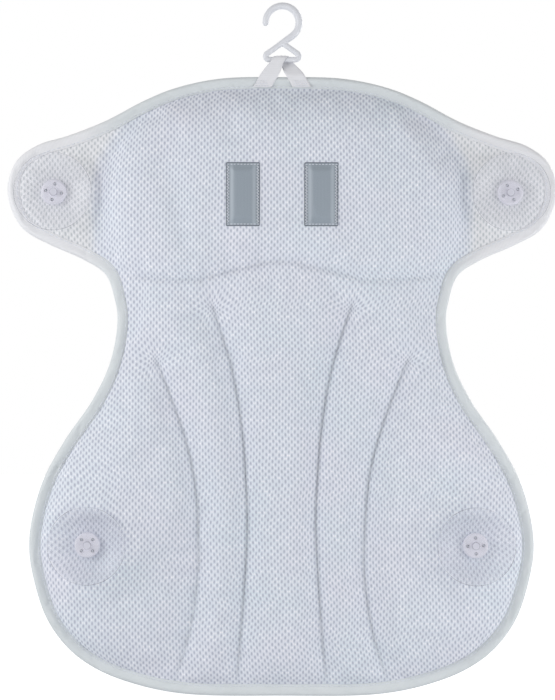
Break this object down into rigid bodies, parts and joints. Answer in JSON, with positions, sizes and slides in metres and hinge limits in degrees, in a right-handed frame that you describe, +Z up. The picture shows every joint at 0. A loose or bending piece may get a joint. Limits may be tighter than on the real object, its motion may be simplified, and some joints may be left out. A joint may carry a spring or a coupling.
{
  "type": "bath pillow",
  "caption": "Padded mesh bath pillow with a thick head rest, sewn back channels, suction cups on its ears and hips, fastening patches and a hook on a ribbon loop.",
  "frame": {"origin": "the inner crown of the hook, where the rail or peg that it hangs on bears", "axes": "+Z up as the pillow hangs, -Y out of the side that the suction cups are on, +Y out of the bather's side, +X across"},
  "size_m": [0.4242, 0.0579, 0.5358],
  "materials": {
    "cover_mesh": "matte",
    "wadding": "matte",
    "binding_tape": "matte",
    "loop_ribbon": "satin",
    "patch_tape": "satin",
    "hook_plastic": "satin",
    "plate_plastic": "satin",
    "clear_vinyl": "gloss"
  },
  "bodies": {
    "hook": {"hanging_hook": "hook_plastic"},
    "pillow": {"back_cover": "cover_mesh", "front_cover": "cover_mesh", "edge_binding": "binding_tape", "hanging_loop": "loop_ribbon", "head_filling": "wadding", "channel_filling": "wadding", "left_hip_filling": "wadding", "right_hip_filling": "wadding", "left_ear_plate": "plate_plastic", "right_ear_plate": "plate_plastic", "left_hip_plate": "plate_plastic", "right_hip_plate": "plate_plastic", "left_fastening_patch": "patch_tape", "right_fastening_patch": "patch_tape"},
    "left_ear_suction_cup": {"left_ear_cup": "clear_vinyl"},
    "right_ear_suction_cup": {"right_ear_cup": "clear_vinyl"},
    "left_hip_suction_cup": {"left_hip_cup": "clear_vinyl"},
    "right_hip_suction_cup": {"right_hip_cup": "clear_vinyl"}
  },
  "joints": [
    {"name": "loop_on_hook", "type": "hinge", "parent": "hook", "child": "pillow", "pos_m": [0, 0, -0.0388], "axis": [1, 0, 0], "range_deg": [-90, 90]},
    {"name": "left_ear_cup_spin", "type": "hinge", "parent": "pillow", "child": "left_ear_suction_cup", "pos_m": [-0.17596, 0, -0.14169], "axis": [0, 1, 0], "continuous": true},
    {"name": "right_ear_cup_spin", "type": "hinge", "parent": "pillow", "child": "right_ear_suction_cup", "pos_m": [0.17596, 0, -0.14169], "axis": [0, 1, 0], "continuous": true},
    {"name": "left_hip_cup_spin", "type": "hinge", "parent": "pillow", "child": "left_hip_suction_cup", "pos_m": [-0.14904, 0, -0.41319], "axis": [0, 1, 0], "continuous": true},
    {"name": "right_hip_cup_spin", "type": "hinge", "parent": "pillow", "child": "right_hip_suction_cup", "pos_m": [0.14904, 0, -0.41319], "axis": [0, 1, 0], "continuous": true}
  ]
}
